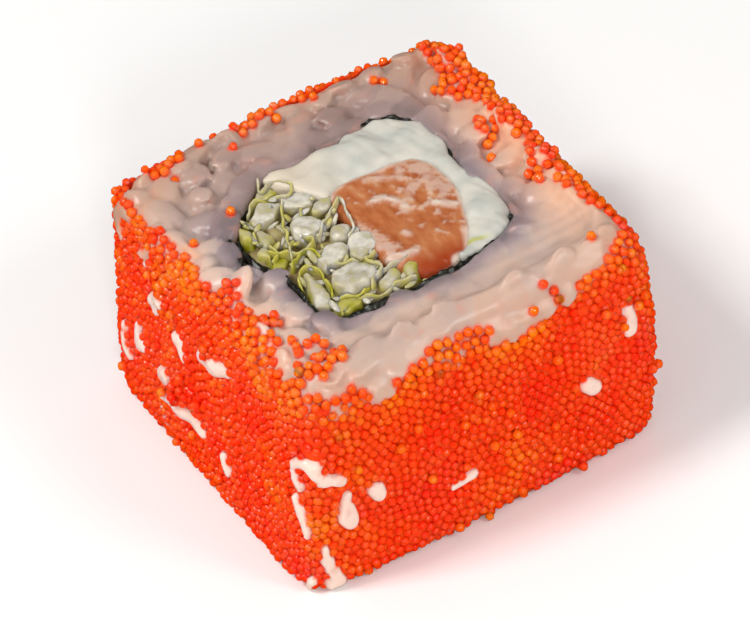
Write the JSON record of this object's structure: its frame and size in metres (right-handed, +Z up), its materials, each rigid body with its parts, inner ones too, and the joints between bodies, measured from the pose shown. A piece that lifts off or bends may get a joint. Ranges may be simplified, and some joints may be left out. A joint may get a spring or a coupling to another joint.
{
  "type": "california roll",
  "caption": "Square-pressed inside-out sushi roll piece: nori-wrapped salmon, cream cheese and shredded cabbage in a block of rice with a coat of orange flying-fish roe.",
  "frame": {"origin": "middle of the base cut face, at the middle of the piece's bounding box", "axes": "+Z up, square to both cut faces; X and Y square to the pressed sides, the cabbage on the -X side of the filling and the cream cheese on the +X and +Y sides"},
  "size_m": [0.042, 0.0436, 0.0244],
  "materials": {
    "sushi_rice": "moist, slightly translucent grains",
    "flying_fish_roe": "glossy, translucent small eggs",
    "nori": "dark green-black, softened, slightly crinkled sheet",
    "salmon": "moist raw fish with pale fat lines",
    "cream_cheese": "smooth, dense and slightly moist",
    "shredded_cabbage": "moist pale green and white shreds"
  },
  "bodies": {
    "root": {"rice": "sushi_rice", "roe_coat": "flying_fish_roe", "nori": "nori", "salmon": "salmon", "cream_cheese": "cream_cheese", "cabbage": "shredded_cabbage"}
  },
  "joints": []
}
